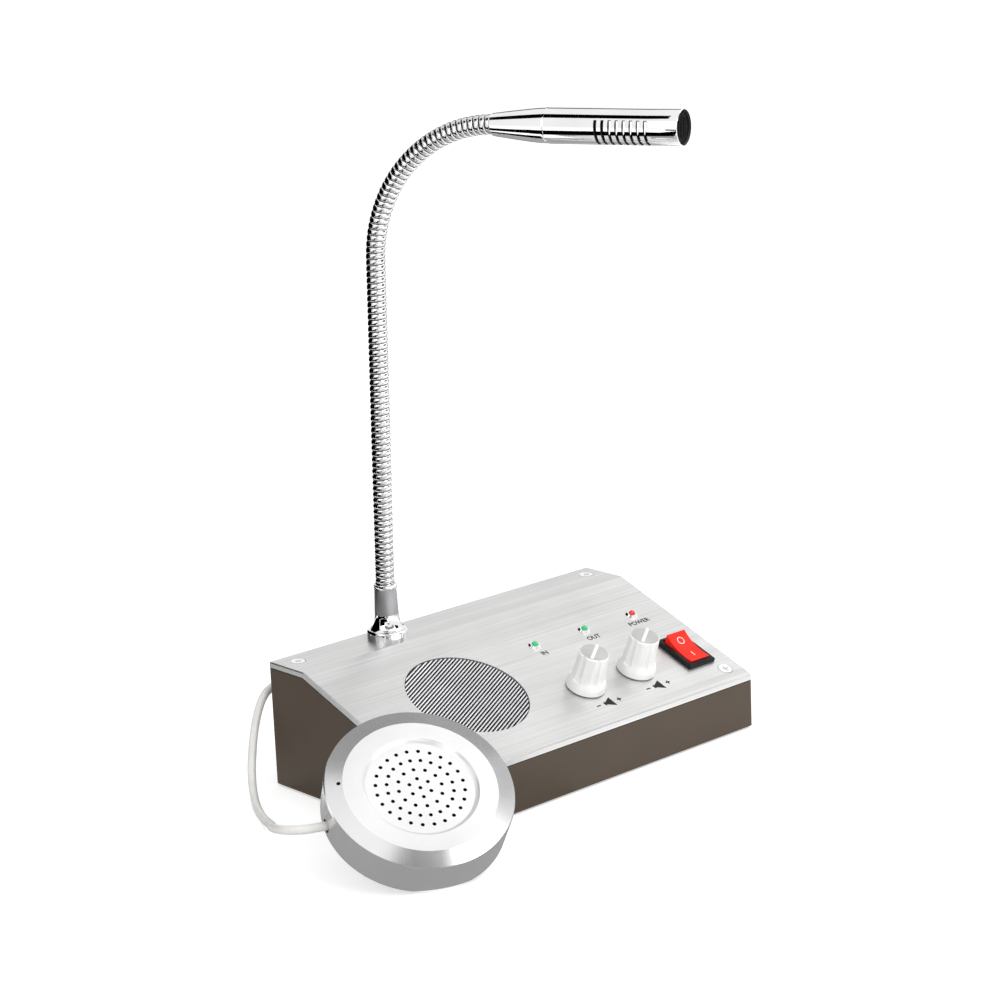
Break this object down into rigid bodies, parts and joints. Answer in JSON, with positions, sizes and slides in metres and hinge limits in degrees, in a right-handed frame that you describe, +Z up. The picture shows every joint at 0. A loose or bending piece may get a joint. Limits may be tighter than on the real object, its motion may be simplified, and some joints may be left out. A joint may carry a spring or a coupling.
{
  "type": "teller window intercom",
  "caption": "Wedge desk intercom console with gooseneck microphone, barred loudspeaker, volume knobs and rocker switch, and a round outer speaker unit on a cord.",
  "frame": {"origin": "centre of the console case's underside, one foot height above the counter", "axes": "+X to the right along the console as its user sits, +Y to its back wall, +Z up"},
  "size_m": [0.2411, 0.1545, 0.2701],
  "materials": {
    "case_paint": "satin brown enamel",
    "panel_aluminium": "brushed along its length",
    "fastener_steel": "plated",
    "grille_steel": "dark, fine bars",
    "green_lens": "clear green",
    "red_lens": "clear red",
    "bright_rim": "bright",
    "knob_silver": "satin silver",
    "black_plastic": "fine texture",
    "rocker_red": "clear red, polished",
    "neck_chrome": "bright",
    "mic_chrome": "bright",
    "outer_silver": "satin silver",
    "soft_rubber": "matte",
    "cord_jacket": "off-white, matte",
    "board_green": "solder mask",
    "board_black": "moulded",
    "magnet_iron": "plated",
    "cone_paper": "pressed paper",
    "foam_black": "open cell",
    "contact_brass": "plated"
  },
  "bodies": {
    "console": {"case_shell": "case_paint", "top_panel": "panel_aluminium", "panel_screws": "fastener_steel", "rubber_feet": "soft_rubber", "speaker_grille": "grille_steel", "speaker_gasket": "foam_black", "speaker_basket": "fastener_steel", "speaker_cone": "cone_paper", "speaker_magnet": "magnet_iron", "circuit_board": "board_green", "board_screws": "fastener_steel", "board_parts": "board_black", "led_in": "green_lens", "led_out": "green_lens", "led_power": "red_lens", "led_bezels": "bright_rim", "pot_in": "fastener_steel", "pot_out": "fastener_steel", "pot_nuts": "fastener_steel", "switch_housing": "black_plastic", "switch_terminals": "contact_brass", "dc_jack": "black_plastic", "speaker_jack": "black_plastic", "neck_flange": "neck_chrome", "neck_bell": "neck_chrome", "neck_ferrule": "neck_chrome", "neck_nut": "fastener_steel", "outer_cord": "cord_jacket", "cord_plug": "soft_rubber", "neck_link_0": "neck_chrome"},
    "volume_in_set": {"knob_in": "knob_silver", "shaft_in": "fastener_steel"},
    "volume_out_set": {"knob_out": "knob_silver", "shaft_out": "fastener_steel"},
    "rocker": {"switch_rocker": "rocker_red"},
    "neck_1": {"neck_link_1": "neck_chrome"},
    "neck_2": {"neck_link_2": "neck_chrome"},
    "neck_3": {"neck_link_3": "neck_chrome"},
    "neck_4": {"neck_link_4": "neck_chrome"},
    "neck_5": {"neck_link_5": "neck_chrome"},
    "neck_6": {"neck_link_6": "neck_chrome"},
    "neck_7": {"neck_link_7": "neck_chrome"},
    "neck_8": {"neck_link_8": "neck_chrome"},
    "neck_9": {"neck_link_9": "neck_chrome"},
    "microphone": {"neck_link_10": "neck_chrome", "mic_taper": "mic_chrome", "mic_barrel": "mic_chrome", "mic_end_cap": "black_plastic", "mic_foam": "foam_black", "mic_capsule": "fastener_steel"},
    "outer_unit": {"outer_front_shell": "outer_silver", "outer_back_shell": "outer_silver", "outer_grommet": "soft_rubber", "outer_speaker": "cone_paper", "outer_magnet": "magnet_iron", "outer_mic": "fastener_steel", "outer_screws": "fastener_steel", "outer_pad": "foam_black"}
  },
  "joints": [
    {"name": "volume_in_turn", "type": "hinge", "parent": "console", "child": "volume_in_set", "pos_m": [0.0137, -0.02657, 0.03122], "axis": [0, 0.3541, -0.9352], "range_deg": [-25, 275]},
    {"name": "volume_out_turn", "type": "hinge", "parent": "console", "child": "volume_out_set", "pos_m": [0.0428, -0.02657, 0.03122], "axis": [0, 0.3541, -0.9352], "range_deg": [-25, 275]},
    {"name": "power_rock", "type": "hinge", "parent": "console", "child": "rocker", "pos_m": [0.0725, -0.02646, 0.03179], "axis": [1, 0, 0], "range_deg": [-20, 0]},
    {"name": "neck_lean", "type": "hinge", "parent": "console", "child": "neck_1", "pos_m": [-0.03544, 0.03814, 0.0803], "axis": [0.9397, 0.342, 0], "range_deg": [-12, 12]},
    {"name": "neck_sway", "type": "hinge", "parent": "neck_1", "child": "neck_2", "pos_m": [-0.03524, 0.03758, 0.10162], "axis": [0.3419, -0.9393, -0.0279], "range_deg": [-14, 14]},
    {"name": "neck_lean_mid", "type": "hinge", "parent": "neck_2", "child": "neck_3", "pos_m": [-0.03503, 0.03702, 0.12295], "axis": [0.9397, 0.342, 0], "range_deg": [-12, 12]},
    {"name": "neck_sway_mid", "type": "hinge", "parent": "neck_3", "child": "neck_4", "pos_m": [-0.03483, 0.03646, 0.14427], "axis": [0.3419, -0.9393, -0.0279], "range_deg": [-14, 14]},
    {"name": "neck_lean_high", "type": "hinge", "parent": "neck_4", "child": "neck_5", "pos_m": [-0.03463, 0.0359, 0.1656], "axis": [0.9397, 0.342, 0], "range_deg": [-12, 12]},
    {"name": "neck_sway_high", "type": "hinge", "parent": "neck_5", "child": "neck_6", "pos_m": [-0.03442, 0.03534, 0.18692], "axis": [0.3419, -0.9393, -0.0279], "range_deg": [-14, 14]},
    {"name": "neck_curl", "type": "hinge", "parent": "neck_6", "child": "neck_7", "pos_m": [-0.03422, 0.03478, 0.20825], "axis": [0.9397, 0.342, 0], "range_deg": [-20, 10]},
    {"name": "neck_curl_2", "type": "hinge", "parent": "neck_7", "child": "neck_8", "pos_m": [-0.03263, 0.03041, 0.22901], "axis": [0.9397, 0.342, 0], "range_deg": [-20, 10]},
    {"name": "neck_curl_3", "type": "hinge", "parent": "neck_8", "child": "neck_9", "pos_m": [-0.02848, 0.01901, 0.24649], "axis": [0.9397, 0.342, 0], "range_deg": [-20, 10]},
    {"name": "neck_curl_4", "type": "hinge", "parent": "neck_9", "child": "microphone", "pos_m": [-0.02239, 0.00227, 0.25812], "axis": [0.9397, 0.342, 0], "range_deg": [-20, 10]},
    {"name": "outer_unit_lift", "type": "slide", "parent": "console", "child": "outer_unit", "axis": [0, 0, 1], "range_m": [0, 0.05]}
  ],
  "couplings": [
    {"joint": "neck_lean_mid", "follows": "neck_lean", "ratio": 1},
    {"joint": "neck_lean_high", "follows": "neck_lean", "ratio": 1},
    {"joint": "neck_sway_mid", "follows": "neck_sway", "ratio": 1},
    {"joint": "neck_sway_high", "follows": "neck_sway", "ratio": 1},
    {"joint": "neck_curl_2", "follows": "neck_curl", "ratio": 1},
    {"joint": "neck_curl_3", "follows": "neck_curl", "ratio": 1},
    {"joint": "neck_curl_4", "follows": "neck_curl", "ratio": 1}
  ]
}
